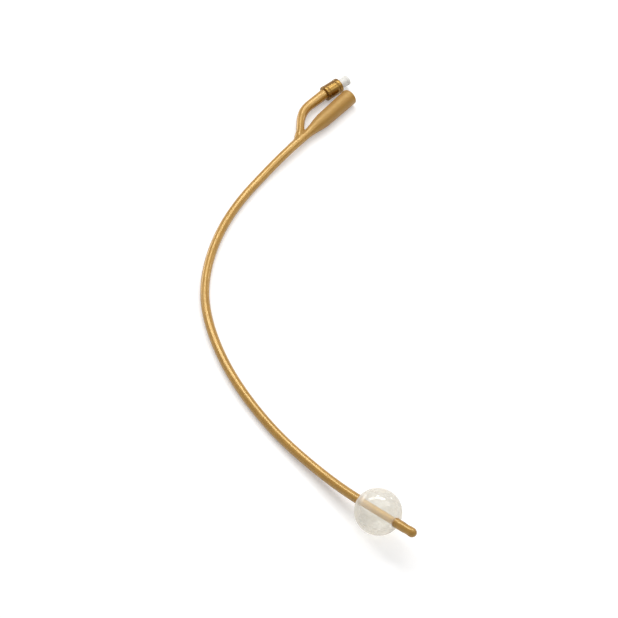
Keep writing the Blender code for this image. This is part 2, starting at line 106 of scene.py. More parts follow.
# The drainage bore in the funnel
BORE_DRAFT = 0.0004  # it narrows by this over its straight part
BORE_RUN = 0.016  # then it draws in to the lumen over this length
BORE_END = 0.040  # how far in it is made
LUMEN = 0.0013  # radius of the drainage lumen

# Levels in the valve, from the collar's inner end outwards
ARM_END = 0.00765
CHAMBER_LOW = 0.0087
SEAT_LOW = 0.0114
SOCKET_LOW = 0.0123
SOCKET_DRAFT = 0.03  # a syringe socket narrows by 6 in 100, half of it on each side
CHAMBER = 0.0023  # radius of the valve's chamber
SEAT_BORE = 0.00115  # radius of the hole that the stem comes through


def linear(code):
    """An sRGB hex colour as linear light: c / 12.92 below 0.04045, else ((c + 0.055) / 1.055) ^ 2.4."""
    c = np.array([int(code[i : i + 2], 16) for i in (1, 3, 5)]) / 255
    return np.where(c <= 0.04045, c / 12.92, ((c + 0.055) / 1.055) ** 2.4).tolist()


def length(name, default, description):
    """A length that the sidebar shows in the scene's units."""
    return FloatProperty(
        name=name, default=default, description=description, unit="LENGTH", precision=5, min=0.0
    )


def colour(name, code, description):
    """A colour that the sidebar shows, from its hex code."""
    return FloatVectorProperty(
        name=name, default=linear(code), description=description, subtype="COLOR", min=0.0, max=1.0
    )


class CatheterSizes(bpy.types.PropertyGroup):
    overall: length("Overall length", 0.400, "From the rounded end to the funnel's mouth")
    tip: length("Tip length", 0.0273, "From the balloon's centre to the rounded end")
    shaft: length("Shaft diameter", 0.00533, "16 French")
    seat_step: length("Seat step", 0.0006, "How much the shaft draws in inside the balloon")
    nose: length("Nose length", 0.0030, "Length of the rounded end")
    eye_long: length("Eye length", 0.0040, "Drainage eye, along the shaft")
    eye_wide: length("Eye width", 0.0021, "Drainage eye, round the shaft")
    balloon: length("Balloon diameter", 0.0252, "Across the shaft")
    balloon_long: length("Balloon length", 0.0262, "Along the shaft")
    balloon_sits: length("Balloon flat", 0.00035, "How far the soft balloon settles on the table")
    film: length("Film thickness", 0.0002, "Of the blown-up balloon")
    far_cuff: length("Far cuff", 0.0030, "Bonded sleeve beyond the balloon")
    near_cuff: length("Near cuff", 0.0045, "Bonded sleeve before the balloon")
    funnel: length("Funnel length", 0.052, "From the fork to the mouth")
    funnel_plain: length("Plain part", 0.010, "Between the fork and the funnel's taper")
    funnel_taper: length("Funnel taper", 0.018, "Part in which the shaft widens into the funnel")
    mouth: length("Mouth diameter", 0.0102, "Outside, at the funnel's mouth")
    neck: length("Neck diameter", 0.0094, "Outside, where the taper ends")
    funnel_wall: length("Funnel wall", 0.00135, "Wall at the funnel's mouth")
    bore_depth: length("Bore depth", 0.026, "Straight part of the drainage bore")
    arm_base: length("Arm at the fork", 0.0050, "Arm diameter")
    arm_bend: length("Arm at the bend", 0.0059, "Arm diameter")
    arm_end: length("Arm at the collar", 0.0066, "Arm diameter")
    collar: length("Collar length", 0.0115, "Rubber sleeve over the arm's end")
    collar_wide: length("Collar diameter", 0.0095, "Over its end beads")
    valve: length("Valve length", 0.0070, "What shows of the valve beyond the collar")
    valve_wide: length("Valve diameter", 0.0064, "Over the rim")
    socket: length("Socket diameter", 0.00427, "Syringe socket at the rim")


class CatheterColours(bpy.types.PropertyGroup):
    latex: colour("Latex", "#AD7F34", "Dipped latex, its usual amber")
    latex_deep: colour("Latex, thick", "#A2752C", "Dipped latex where it is thicker")
    # Painted light: seat is a paler colour painted on the shaft inside the balloon, for the glow that the
    # milky film throws on it; the latex itself is not paler
    seat: colour("Latex, seat", "#D5AF6B", "Paler latex inside the balloon")
    # Partly painted shade: the funnel's deeper colour stands both for its thicker latex and for the
    # dimmer light at the head
    moulded: colour("Latex, moulded", "#936720", "The funnel's thicker latex")
    collar: colour("Collar", "#643A04", "Dark amber rubber")
    collar_deep: colour("Collar, thick", "#563103", "Dark amber rubber where it is thicker")
    gleam: colour("Gleam", "#FFE3A6", "Warm tint of the gloss on latex")
    collar_gleam: colour("Collar gleam", "#FFD176", "Amber tint of the gloss on the collar")
    film: colour("Balloon film", "#F6F2EC", "Milky veil of the clear film")
    film_clear: colour("Balloon film, clear", "#FAFAF8", "What light keeps through one surface")
    valve: colour("Valve", "#DCDAD4", "Translucent white plastic")
    stem: colour("Stem", "#C9C8C2", "Natural plastic of the valve's stem")
    seal: colour("Seal", "#5B5957", "Soft grey rubber")
    steel: colour("Spring", "#B9B8B6", "Stainless wire")
    table: colour("Table", "#EDEDED", "White table")


class CatheterStudio(bpy.types.PropertyGroup):
    azimuth: FloatProperty(
        name="Azimuth", default=math.radians(39.56), description="View's turn from +Y", subtype="ANGLE"
    )
    elevation: FloatProperty(
        name="Elevation", default=math.radians(50), description="View's height", subtype="ANGLE"
    )
    view_angle: FloatProperty(
        name="View angle", default=math.radians(13.28), description="Of the lens", subtype="ANGLE"
    )
    distance: length("Distance", 1.5125, "From the camera to the point that it looks at")
    target: FloatVectorProperty(
        name="Looks at", default=(-0.1241, 0.0927, 0.0), description="Middle of the picture",
        subtype="TRANSLATION",
    )
    key_power: FloatProperty(
        name="Key lamp", default=9.4, description="Long soft lamp behind and above", unit="POWER"
    )
    over_power: FloatProperty(
        name="Overhead lamp", default=3.8, description="Broad soft lamp overhead", unit="POWER"
    )
    top_power: FloatProperty(
        name="Top lamp", default=1.4, description="Small soft lamp over the head", unit="POWER"
    )
    side_power: FloatProperty(
        name="Side lamps", default=1.5, description="Small soft lamps low at both sides", unit="POWER"
    )
    back_power: FloatProperty(
        name="Back lamp", default=1.6, description="Small soft lamp behind the head", unit="POWER"
    )
    around: FloatProperty(
        name="Surroundings", default=0.45, description="Even light from the white room"
    )


def unit(vectors):
    """The same directions, each 1 long."""
    return vectors / np.linalg.norm(vectors, axis=-1, keepdims=True)


def ease(t):
    """A smooth step from 0 to 1: 3t^2 - 2t^3, with t kept from 0 to 1."""
    t = np.clip(t, 0.0, 1.0)
    return t * t * (3 - 2 * t)


def lengths_of(points, start=0.0):
    """How far along their line the points lie, the first of them at start."""
    steps = np.linalg.norm(np.diff(points, axis=0), axis=1)
    return start + np.concatenate([[0.0], np.cumsum(steps)])


def smooth_curve(points, samples, start=None, end=None):
    """A cubic curve through the points.

    From P to Q it is (1+2u)(1-u)^2 P + u(1-u)^2 g S + u^2(3-2u) Q - u^2(1-u) g T, where g is the
    chord and S and T are the slopes. The slopes make it bend equally on both sides of each point,
    and an end whose slope isn't given is left straight.
    """
    points = np.array(points, float)
    t = lengths_of(points)
    chord = np.diff(t)
    rise = np.diff(points, axis=0) / chord[:, None]
    before, after = chord[:-1, None], chord[1:, None]
    rows = np.diag(np.concatenate([[2.0], 2 * (before + after)[:, 0], [2.0]]))
    rows += np.diag(np.concatenate([[1.0], before[:, 0]]), 1)
    rows += np.diag(np.concatenate([after[:, 0], [1.0]]), -1)
    middle = 3 * (after * rise[:-1] + before * rise[1:])
    right = np.concatenate([3 * rise[:1], middle, 3 * rise[-1:]])
    for row, slope in ((0, start), (-1, end)):
        if slope is not None:
            rows[row] = 0.0
            rows[row, row] = 1.0
            right[row] = slope
    slopes = np.linalg.solve(rows, right)
    at = np.linspace(0, t[-1], samples)
    i = np.clip(np.searchsorted(t, at, side="right") - 1, 0, len(chord) - 1)
    g = chord[i, None]
    u = (at - t[i])[:, None] / g
    near = (1 + 2 * u) * (1 - u) ** 2 * points[i] + u * (1 - u) ** 2 * g * slopes[i]
    far = u * u * (3 - 2 * u) * points[i + 1] - u * u * (1 - u) * g * slopes[i + 1]
    return near + far


def line_of(points, start=0.0):
    """A line as its lengths, its places and its unit directions."""
    lengths = lengths_of(points, start)
    return lengths, points, unit(np.gradient(points, lengths, axis=0))


def stand_on(line, at):
    """Place, way ahead, level left side and upper side at lengths along a line.

    Past its ends the line goes straight on.
    """
    lengths, points, ahead = line
    inside = np.clip(at, lengths[0], lengths[-1])
    place = np.stack([np.interp(inside, lengths, points[:, k]) for k in range(3)], axis=-1)
    way = unit(np.stack([np.interp(inside, lengths, ahead[:, k]) for k in range(3)], axis=-1))
    side = unit(np.cross((0.0, 0.0, 1.0), way))
    return place + (at - inside)[:, None] * way, way, side, np.cross(way, side)


def tube(line, at, radius, sides):
    """Rings along a line: P(s, a) = C(s) + r(s, a) (cos a side(s) + sin a up(s))."""
    place, _, side, up = stand_on(line, at)
    a = 2 * math.pi * np.arange(sides) / sides
    out = np.cos(a)[None, :, None] * side[:, None] + np.sin(a)[None, :, None] * up[:, None]
    return place[:, None] + np.reshape(radius, (len(at), -1, 1)) * out, out


def rounded(corners, reach):
    """A closed outline with round corners.

    Each corner B becomes eight points of (1-t)^2 (B - r back) + 2t(1-t) B + t^2 (B + r on), where
    back and on are the directions of the sides that meet there, and r is the rounding's reach.
    """
    corners = np.array(corners, float)
    on = unit(np.roll(corners, -1, axis=0) - corners)
    back = np.roll(on, 1, axis=0)
    r = np.reshape(reach, (-1, 1))
    first, last = (corners - r * back)[:, None], (corners + r * on)[:, None]
    t = np.linspace(0, 1, 8)[None, :, None]
    arcs = (1 - t) ** 2 * first + 2 * t * (1 - t) * corners[:, None] + t * t * last
    return arcs.reshape(-1, 2)


def fork_at(sizes):
    """The fork's length along the catheter."""
    return sizes.overall - sizes.tip - sizes.funnel


def tip_seam(sizes):
    """Where the tip's skin meets the shaft's, 1 mm before the end of the far cuff."""
    return -sizes.balloon_long / 2 - sizes.far_cuff + 0.001


def balloon_height(sizes):
    """The height of the balloon's centre over the table."""
    return sizes.balloon / 2 - sizes.balloon_sits


def catheter_line(sizes):
    """The catheter's centreline from its rounded end to past its mouth.

    Seen from above it is the route, then straight on. Its height near the balloon is that of a soft
    tube that bends under its own weight, h (2 t^3 - t^4), and it rises to the funnel in an even S.
    """
    shaft = sizes.shaft / 2
    fork = fork_at(sizes)
    plan = smooth_curve(ROUTE, 1600, end=(0.0, 1.0))
    run = np.linspace(0, sizes.overall, 60)[1:, None]
    plan = np.concatenate([plan, plan[-1] + run * (0.0, 1.0)])
    along = lengths_of(plan)
    t = np.clip(1 - along / BALLOON_RAMP, 0, 1)
    height = shaft + (balloon_height(sizes) - shaft) * (2 * t**3 - t**4)
    height += (sizes.mouth / 2 - shaft) * ease(1 - (fork - along) / HEAD_RAMP)
    points = np.column_stack([plan, height])
    back = unit(points[0] - points[1])
    run = np.linspace(sizes.tip, 0, 60)[:-1, None]
    return line_of(np.concatenate([points[0] + run * back, points]), -sizes.tip)


def arm_line(sizes, line):
    """The inflation arm's centreline, and the valve's, which goes straight on from it."""
    on, aside = np.array(ARM_ROUTE).T
    place, way, side, _ = stand_on(line, fork_at(sizes) + on)
    valve_way = math.cos(VALVE_LEAN) * way[-1] - math.sin(VALVE_LEAN) * side[-1]
    points = smooth_curve(place + aside[:, None] * side, 400, way[0], valve_way)
    run = np.linspace(0, 0.03, 31)[:, None]
    return line_of(points), line_of(points[-1] + run * valve_way)


def skin(name, grid, closed=False):
    """A mesh over a grid of points whose second index goes round.

    closed joins its last row to its first. Otherwise each end is shut by a fan to its middle.
    """
    rows, sides = grid.shape[:2]
    index = np.arange(rows * sides).reshape(rows, sides)
    low = index if closed else index[:-1]
    high = np.roll(index, -1, axis=0) if closed else index[1:]
    quads = np.stack([low, np.roll(low, -1, 1), np.roll(high, -1, 1), high], axis=-1)
    points = grid.reshape(-1, 3)
    faces = quads.reshape(-1, 4).tolist()
    if not closed:
        points = np.concatenate([points, grid[[0, -1]].mean(axis=1)])
        first, last = index[0], index[-1]
        middle = np.full(sides, rows * sides)
        faces += np.stack([np.roll(first, -1), first, middle], axis=-1).tolist()
        faces += np.stack([last, np.roll(last, -1), middle + 1], axis=-1).tolist()
    mesh = bpy.data.meshes.new(name)
    mesh.from_pydata(points.tolist(), [], faces)
    mesh.shade_smooth()
    mesh.set_sharp_from_angle(angle=math.radians(50))
    return mesh


def place_piece(name, mesh, finish, body, slot, *nodes):
    """Puts a finished mesh in the scene, on its body and in place of its CAD nodes."""
    made = bpy.data.objects.new(name, mesh)
    bpy.context.scene.collection.objects.link(made)
    mesh.materials.append(finish)
    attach(made, body)
    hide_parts(*nodes)
    return made


def refinish(node, finish):
    """Gives a CAD node another material."""
    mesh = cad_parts[node].data
    mesh.materials.clear()
    mesh.materials.append(finish)


def add(tree, kind, settings=(), links=()):
    """One node: settings are its own fields by name, or its sockets' values by name or number.

    links join its sockets to other nodes' outputs.
    """
    node = tree.nodes.new(kind)
    for key, value in dict(settings).items():
        if isinstance(key, str) and hasattr(node, key):
            setattr(node, key, value)
        else:
            node.inputs[key].default_value = value
    for key, output in dict(links).items():
        tree.links.new(output, node.inputs[key])
    return node


def new_material(name):
    """An empty material, with its output node."""
    material = bpy.data.materials.new(name)
    material.use_nodes = True
    tree = material.node_tree
    tree.nodes.clear()
    return material, tree, add(tree, "ShaderNodeOutputMaterial")


def grain(tree, millimetres, detail=2.0):
    """Noise on the piece's own coordinates, whose lumps are about that size."""
    where = add(tree, "ShaderNodeTexCoord").outputs["Object"]
    settings = {"Scale": 1000 / millimetres, "Detail": detail}
    return add(tree, "ShaderNodeTexNoise", settings, {"Vector": where}).outputs["Fac"]


def span(low, high, start=0.35, end=0.65):
    """Settings that map a value from start to end, by default a grain's usual range, onto low to high."""
    return {"From Min": start, "From Max": end, "To Min": low, "To Max": high}


def by_distance(tree, centre, inside, outside, start, end):
    """A value that changes over a range of distances from the balloon's centre."""
    where = add(tree, "ShaderNodeTexCoord").outputs["Object"]
    settings = {"operation": "DISTANCE", 1: (0.0, 0.0, centre)}
    apart = add(tree, "ShaderNodeVectorMath", settings, {0: where}).outputs["Value"]
    changes = span(inside, outside, start, end)
    return add(tree, "ShaderNodeMapRange", changes, {"Value": apart}).outputs["Result"]


def looked_at(tree):
    """1 for rays that the eye, a mirror or a clear thing sends out, and 0 for lighting."""
    rays = add(tree, "ShaderNodeLightPath").outputs
    seen = rays["Is Camera Ray"]
    for kind in ("Is Glossy Ray", "Is Transmission Ray"):
        larger = {"operation": "MAXIMUM"}
        seen = add(tree, "ShaderNodeMath", larger, {0: seen, 1: rays[kind]}).outputs[0]
    return seen


def dipped_rubber(name, thin, thick, gleam, smooth, grained=1.0, index=1.65, funnel=None, seat=None):
    """Dipped rubber under a thin silicone coat: warm, a little clear, with a long soft gloss.

    The dip leaves slow changes of thickness about 7 mm long, which show as paler and deeper amber.
    smooth is the gloss's least roughness, and index its IOR. grained says how patchy the gloss is
    and how strong its faint ripple: 1 on the long dipped pieces, and less on the short smooth
    sleeve. funnel is where the thicker moulded funnel begins along +Y, and its colour: over the
    next 26 mm the gloss dulls to satin and the colour deepens, partly for the thicker latex and
    partly as painted shade for the dimmer light at the head. seat is the height of the balloon's
    centre, and a paler colour painted on the latex within 12 mm of it: painted light that stands
    for the glow that the milky film throws on it.
    """
    material, tree, out = new_material(name)
    depth = add(tree, "ShaderNodeMapRange", span(0.0, 1.0), {"Value": grain(tree, 7.0)})
    shades = {"data_type": "RGBA", 6: (*thin, 1.0), 7: (*thick, 1.0)}
    tone = add(tree, "ShaderNodeMix", shades, {0: depth.outputs["Result"]}).outputs["Result"]
    patchy = span(smooth, smooth + 0.05 * grained)
    gloss = add(tree, "ShaderNodeMapRange", patchy, {"Value": grain(tree, 3.0, 3.0)}).outputs["Result"]
    if funnel is not None:
        begins, moulded = funnel
        where = add(tree, "ShaderNodeTexCoord").outputs["Object"]
        along = add(tree, "ShaderNodeSeparateXYZ", links={0: where}).outputs["Y"]
        change = span(0.0, 1.0, begins, begins + 0.026)
        satin = add(tree, "ShaderNodeMapRange", change, {"Value": along}).outputs["Result"]
        worn = add(tree, "ShaderNodeMapRange", span(0.38, 0.48), {"Value": grain(tree, 2.0, 4.0)})
        dulled = add(tree, "ShaderNodeMix", links={0: satin, 2: gloss, 3: worn.outputs["Result"]})
        gloss = dulled.outputs[0]
        # Deeper colour over the funnel: partly its thicker latex, partly painted shade for the dimmer
        # light at the head
        deeper = {"data_type": "RGBA", 7: (*moulded, 1.0)}
        tone = add(tree, "ShaderNodeMix", deeper, {0: satin, 6: tone}).outputs["Result"]
    # Painted light: within 12 mm of the balloon's centre the latex is paled, for the glow that the milky
    # film throws on it
    if seat is not None:
        centre, paler = seat
        inside = by_distance(tree, centre, 1.0, 0.0, 0.0116, 0.0126)
        painted_glow = {"data_type": "RGBA", 7: (*paler, 1.0)}
        tone = add(tree, "ShaderNodeMix", painted_glow, {0: inside, 6: tone}).outputs["Result"]
    faint = {"Strength": 0.02 * grained, "Distance": 0.0001}
    ripple = add(tree, "ShaderNodeBump", faint, {"Height": grain(tree, 1.6)})
    shader = add(
        tree,
        "ShaderNodeBsdfPrincipled",
        {
            "IOR": index,
            "Specular IOR Level": 1.0,
            "Specular Tint": (*gleam, 1.0),
            "Subsurface Weight": 0.15,
            "Subsurface Radius": (0.0022, 0.0011, 0.0004),
            "Subsurface Scale": 1.0,
        },
        {"Base Color": tone, "Roughness": gloss, "Normal": ripple.outputs["Normal"]},
    )
    tree.links.new(shader.outputs[0], out.inputs[0])
    return material


def latex(name, colours, **parts):
    """The catheter's own amber latex, for one of its skins."""
    return dipped_rubber(name, colours.latex, colours.latex_deep, colours.gleam, 0.2, **parts)


def balloon_film(colours, centre):
    """Clear silicone film blown thin: mostly see-through, with a milky veil and a wet gloss.

    Both thicken where the film is seen edge on, and uneven stretch leaves cloudy patches about
    6 mm across. The milk throws about as much light onwards as back, so the ball's shaded half
    glows too. Where the film is bonded to the shaft, more than 13 mm from the balloon's centre, it
    is all but clear. Lamp light on its way to the shaft and the table meets a third of the veil and
    no tint, because milky film scatters most of it onwards.
    """
    material, tree, out = new_material("blown silicone film")
    facing = add(tree, "ShaderNodeLayerWeight", {"Blend": 0.35}).outputs["Facing"]
    bonded = by_distance(tree, centre, 1.0, 0.12, 0.0131, 0.0137)
    lighting = add(tree, "ShaderNodeLightPath").outputs["Is Shadow Ray"]
    lessened = span(1.0, 0.35, 0.0, 1.0)
    thinner = add(tree, "ShaderNodeMapRange", lessened, {"Value": lighting}).outputs["Result"]
    cloud = add(tree, "ShaderNodeMapRange", span(0.8, 1.25), {"Value": grain(tree, 6.0, 3.0)})
    amounts = []
    for most, least, masks in (
        (0.5, 0.17, (bonded, thinner, cloud.outputs["Result"])),
        (0.12, 0.035, (bonded, thinner)),
    ):
        rise = span(least, most, 0.0, 1.0)
        amount = add(tree, "ShaderNodeMapRange", rise, {"Value": facing}).outputs["Result"]
        for mask in masks:
            masked = add(tree, "ShaderNodeMath", {"operation": "MULTIPLY"}, {0: amount, 1: mask})
            amount = masked.outputs[0]
        amounts.append(amount)
    veil, shine = amounts
    tints = {"data_type": "RGBA", 6: (*colours.film_clear, 1.0), 7: (1.0, 1.0, 1.0, 1.0)}
    tint = add(tree, "ShaderNodeMix", tints, {0: lighting}).outputs["Result"]
    clear = add(tree, "ShaderNodeBsdfTransparent", links={"Color": tint})
    milk = add(
        tree,
        "ShaderNodeBsdfPrincipled",
        {"Base Color": (*colours.film, 1.0), "Roughness": 0.13, "Specular IOR Level": 0.0},
    )
    onwards = add(tree, "ShaderNodeBsdfTranslucent", {"Color": (*colours.film, 1.0)})
    cloudy = add(
        tree, "ShaderNodeMixShader", {0: 0.55}, {1: milk.outputs[0], 2: onwards.outputs[0]}
    )
    veiled = add(
        tree, "ShaderNodeMixShader", links={0: veil, 1: clear.outputs[0], 2: cloudy.outputs[0]}
    )
    wet = add(tree, "ShaderNodeBsdfAnisotropic", {"Roughness": 0.1})
    film = add(
        tree, "ShaderNodeMixShader", links={0: shine, 1: veiled.outputs[0], 2: wet.outputs[0]}
    )
    tree.links.new(film.outputs[0], out.inputs[0])
    return material


def moulded_plastic(name, tint, smooth):
    """Injection-moulded plastic, a little clear, with a fine even surface left by the mould."""
    material, tree, out = new_material(name)
    sheen = span(smooth, smooth + 0.1)
    gloss = add(tree, "ShaderNodeMapRange", sheen, {"Value": grain(tree, 1.5, 3.0)})
    fine = {"Strength": 0.1, "Distance": 0.00004}
    texture = add(tree, "ShaderNodeBump", fine, {"Height": grain(tree, 0.8)})
    shader = add(
        tree,
        "ShaderNodeBsdfPrincipled",
        {
            "Base Color": (*tint, 1.0),
            "IOR": 1.49,
            "Subsurface Weight": 0.2,
            "Subsurface Radius": (0.0015, 0.0015, 0.0014),
            "Subsurface Scale": 1.0,
        },
        {"Roughness": gloss.outputs["Result"], "Normal": texture.outputs["Normal"]},
    )
    tree.links.new(shader.outputs[0], out.inputs[0])
    return material


def drawn_wire(tint):
    """Stainless spring wire, bright from the die, with faint lines left by drawing."""
    material, tree, out = new_material("drawn stainless wire")
    lines = add(tree, "ShaderNodeMapRange", span(0.2, 0.35), {"Value": grain(tree, 0.4, 3.0)})
    shader = add(
        tree,
        "ShaderNodeBsdfPrincipled",
        {"Base Color": (*tint, 1.0), "Metallic": 1.0},
        {"Roughness": lines.outputs["Result"]},
    )
    tree.links.new(shader.outputs[0], out.inputs[0])
    return material


def shaft_radius(sizes, at):
    """The shaft's radius by length: a shallow seat inside the balloon, and the rounded end.

    The seat begins 0.6 mm inside the balloon's ends and has its depth 0.8 mm further in. The end
    is a quarter of an ellipse, R sqrt(1 - ((n - d) / n)^2) at a distance d from its tip.
    """
    shaft = sizes.shaft / 2
    half = sizes.balloon_long / 2 - 0.0006
    seat = ease((half - np.abs(at)) / 0.0008)
    from_end = np.clip((at + sizes.tip) / sizes.nose, 0, 1)
    return (shaft - sizes.seat_step * seat) * np.sqrt(1 - (1 - from_end) ** 2)


def funnel_radius(sizes, back):
    """The funnel's outside by distance back from its mouth: a slight taper, then an even S."""
    taper_start = sizes.funnel - sizes.funnel_plain
    straight = taper_start - sizes.funnel_taper
    neck, shaft = sizes.neck / 2, sizes.shaft / 2
    plain = sizes.mouth / 2 + (neck - sizes.mouth / 2) * back / straight
    drawn = shaft + (neck - shaft) * ease((taper_start - back) / sizes.funnel_taper)
    return np.where(back <= straight, plain, drawn)


def arm_radius(sizes, along, whole):
    """The arm swells out of the shaft, then widens through its bend to its end.

    It grows from 0.4 of its base over the first 0.15 of its length, to the bend's width from 0.3
    to 0.65, and to the end's from 0.6 on, each in an even S.
    """
    base, bend, end = sizes.arm_base / 2, sizes.arm_bend / 2, sizes.arm_end / 2
    root = base * (0.4 + 0.6 * ease(along / (0.15 * whole)))
    to_bend = ease((along / whole - 0.3) / 0.35)
    to_end = ease((along / whole - 0.6) / 0.4)
    return root + (bend - base) * to_bend + (end - bend) * to_end


def gap_to(points, line, radius, low, high):
    """How far points lie outside a round tube: the distance to its line, less its radius there.

    The nearest place is the nearest of those 0.5 mm apart from low to high, moved along the line
    until the point is square to it.
    """
    lengths = np.arange(low, high, 0.0005)
    place, way, _, _ = stand_on(line, lengths)
    near = np.linalg.norm(points[:, None] - place, axis=2).argmin(axis=1)
    at = lengths[near] + ((points - place[near]) * way[near]).sum(axis=1)
    return np.linalg.norm(points - stand_on(line, at)[0], axis=1) - radius(at)


def filleted(grid, out, own, other):
    """Raises one tube's surface into a round corner where another tube leaves it.

    With a and b the gaps to the two tubes, k the corner's reach and h = 1/2 + (b - a) / 2k, kept
    from 0 to 1, the joined surface is where b (1 - h) + a h - k h (1 - h) = 0. Each point moves
    out along its ring's radius until it is there, in 14 steps of 0.8 of what is left. Where the
    other tube is nearer, the point sinks again by up to 0.12 mm, so one skin shows.
    """
    points, out = grid.reshape(-1, 3), out.reshape(-1, 3)
    lift = np.zeros(len(points))
    for _ in range(14):
        moved = points + lift[:, None] * out
        a, b = own(moved), other(moved)
        h = np.clip(0.5 + (b - a) / (2 * CORNER), 0, 1)
        lift = np.clip(lift - 0.8 * (b * (1 - h) + a * h - CORNER * h * (1 - h)), 0, CORNER)
    sink = 0.00012 * ease((a - b) / (0.3 * CORNER))
    return (points + (lift - sink)[:, None] * out).reshape(grid.shape)


class CATHETER_OT_stage(bpy.types.Operator):
    """Sets the camera, the lamps, the white table and the room"""

    bl_idname = "catheter.stage"
    bl_label = "Studio"

    def execute(self, context):
        studio = context.scene.catheter_studio
        colours = context.scene.catheter_colours
        target = np.array(studio.target)

        def aimed(name, data, azimuth, elevation, distance, roll=0.0):
            """Puts an object that way from the target, with its -Z towards it and its X level.

            The way is (-cos e sin a, cos e cos a, sin e). A roll then turns it about its own Z.
            """
            made = bpy.data.objects.new(name, data)
            context.scene.collection.objects.link(made)
            back = np.array((
                -math.cos(elevation) * math.sin(azimuth),
                math.cos(elevation) * math.cos(azimuth),
                math.sin(elevation),
            ))
            level = unit(np.cross((0.0, 0.0, 1.0), back))
            turn = np.eye(4)
            place = target + distance * back
            rise = np.cross(back, level)
            across = math.cos(roll) * level + math.sin(roll) * rise
            turn[:3] = np.column_stack([across, np.cross(back, across), back, place])
            made.matrix_world = Matrix(turn.tolist())
            return made

        lens = bpy.data.cameras.new("camera")
        lens.sensor_fit = "HORIZONTAL"
        lens.angle = studio.view_angle
        lens.clip_start = 0.01
        behind = studio.azimuth + math.pi
        camera = aimed("camera", lens, behind, studio.elevation, studio.distance)
        context.scene.camera = camera

        # Power, width and height, turn from the view's azimuth, elevation, distance and roll
        lamps = (
            ("key lamp", studio.key_power, 1.65, 0.32, 10, 58, 1.27, -12),
            ("overhead lamp", studio.over_power, 1.0, 1.0, -60, 80, 1.3, 0),
            ("top lamp", studio.top_power, 0.4, 0.4, -79, 48, 1.2, 0),
            ("left lamp", studio.side_power, 0.4, 0.25, 45, 5, 1.0, 0),
            ("right lamp", studio.side_power / 4, 0.15, 0.12, -50, 14, 1.0, 0),
            ("back lamp", studio.back_power, 0.2, 0.2, 0, 45, 1.57, 0),
        )
        for name, power, wide, tall, turned, high, distance, roll in lamps:
            lamp = bpy.data.lights.new(name, "AREA")
            lamp.shape = "RECTANGLE"
            lamp.size, lamp.size_y = wide, tall
            lamp.energy = power
            azimuth = studio.azimuth + math.radians(turned)
            aimed(name, lamp, azimuth, math.radians(high), distance, math.radians(roll))

        self.table(colours)
        self.room(context, studio)
        context.scene.view_settings.view_transform = "Standard"
        return {"FINISHED"}

    def table(self, colours):
        """A white sheet that the camera sees as plain white where no shadow falls.

        The lamps light it, and a faint glow that lights nothing else brings it up to white.
        """
        material, tree, out = new_material("white seamless table")
        seen = looked_at(tree)
        fibre = add(tree, "ShaderNodeMapRange", span(0.97, 1.0), {"Value": grain(tree, 40.0)})
        white = add(
            tree,
            "ShaderNodeMix",
            {"data_type": "RGBA", "blend_type": "MULTIPLY", 0: 1.0, 6: (*colours.table, 1.0)},
            {7: fibre.outputs["Result"]},
        )
        sheet = add(tree, "ShaderNodeBsdfDiffuse", links={"Color": white.outputs["Result"]})
        lit = add(tree, "ShaderNodeMath", {"operation": "MULTIPLY", 1: 0.28}, {0: seen})
        glow = add(tree, "ShaderNodeEmission", links={"Strength": lit.outputs[0]})
        both = add(tree, "ShaderNodeAddShader", links={0: sheet.outputs[0], 1: glow.outputs[0]})
        tree.links.new(both.outputs[0], out.inputs[0])
        mesh = bpy.data.meshes.new("table")
        reach = 6.0
        corners = ((-reach, -reach, 0), (reach, -reach, 0), (reach, reach, 0), (-reach, reach, 0))
        mesh.from_pydata(corners, [], [(0, 1, 2, 3)])
        mesh.materials.append(material)
        made = bpy.data.objects.new("table", mesh)
        bpy.context.scene.collection.objects.link(made)

    def room(self, context, studio):
        """White all round to the eye and in reflections, and an even dimmer light on surfaces."""
        world = bpy.data.worlds.new("white room")
        world.use_nodes = True
        tree = world.node_tree
        tree.nodes.clear()
        strength = add(tree, "ShaderNodeMix", {2: studio.around, 3: 1.0}, {0: looked_at(tree)})
        light = add(tree, "ShaderNodeBackground", links={"Strength": strength.outputs[0]})
        out = add(tree, "ShaderNodeOutputWorld")
        tree.links.new(light.outputs[0], out.inputs[0])
        context.scene.world = world


